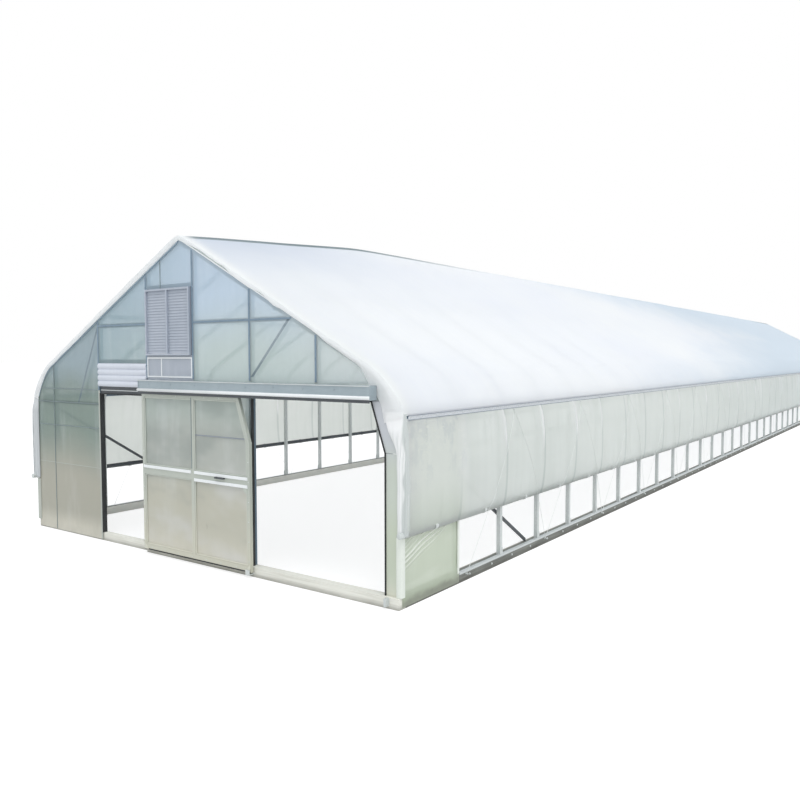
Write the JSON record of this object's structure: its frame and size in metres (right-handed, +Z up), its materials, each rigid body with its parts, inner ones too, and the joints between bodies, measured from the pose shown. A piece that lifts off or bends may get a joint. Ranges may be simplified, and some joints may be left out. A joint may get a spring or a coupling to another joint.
{
  "type": "polytunnel greenhouse",
  "caption": "Gothic-arch polytunnel greenhouse with an inflated film roof, roll-up side curtains, a glazed front wall, a louvre and a sliding door on a track.",
  "frame": {"origin": "on the ground, under the middle of the overall box", "axes": "+X to the right seen from the front, front wall facing -Y, +Z up"},
  "size_m": [6.536, 39.28, 4.0502],
  "materials": {
    "roof_film": "milky white greenhouse film, air inflated",
    "side_film": "translucent milky film with vertical wrinkles",
    "twin_wall_sheet": "twin-wall clear plastic sheet with fine vertical ribs",
    "galvanised_steel": "galvanised",
    "dark_steel": "satin dark paint",
    "aluminium_section": "mill finish",
    "sill_timber": "weathered sawn timber",
    "dark_rubber": "matt black seal",
    "louvre_metal": "grey sheet metal",
    "white_slat": "white coated slats"
  },
  "bodies": {
    "tunnel": {"hoop_posts": "galvanised_steel", "hoop_bends": "galvanised_steel", "left_rafters": "galvanised_steel", "right_rafters": "galvanised_steel", "ridge_purlin": "galvanised_steel", "roof_purlins": "galvanised_steel", "corner_braces": "galvanised_steel", "front_wall_posts": "galvanised_steel", "front_wall_girts": "galvanised_steel", "doorway_header": "galvanised_steel", "doorway_right_post": "galvanised_steel", "doorway_corner_strut": "galvanised_steel", "front_wall_braces": "galvanised_steel", "back_wall_posts": "galvanised_steel", "back_wall_girts": "galvanised_steel", "roll_bars": "dark_steel", "small_doorway_header": "dark_steel", "front_sill": "sill_timber", "back_sill": "sill_timber", "side_sills": "sill_timber", "hip_rails": "aluminium_section", "door_track": "aluminium_section", "track_brackets": "aluminium_section", "door_floor_guides": "galvanised_steel", "side_curtains": "side_film", "side_end_panels": "side_film", "left_roof_film": "roof_film", "right_roof_film": "roof_film", "left_eave_film": "roof_film", "right_eave_film": "roof_film", "left_wall_sheets": "twin_wall_sheet", "gable_sheets": "twin_wall_sheet", "louvre_underlight": "twin_wall_sheet", "parked_bay_sheets": "twin_wall_sheet", "doorway_side_sheets": "twin_wall_sheet", "back_wall_sheets": "twin_wall_sheet", "doorway_lining": "dark_rubber", "small_doorway_lining": "dark_rubber", "louvre_frame": "louvre_metal", "louvre_blades": "louvre_metal", "rolled_shutter": "white_slat"},
    "sliding_door": {"door_frame": "aluminium_section", "door_panes": "twin_wall_sheet", "door_hangers": "galvanised_steel", "door_pull": "dark_steel"}
  },
  "joints": [
    {"name": "door_slide", "type": "slide", "parent": "tunnel", "child": "sliding_door", "axis": [1, 0, 0], "range_m": [0, 1.8]}
  ]
}
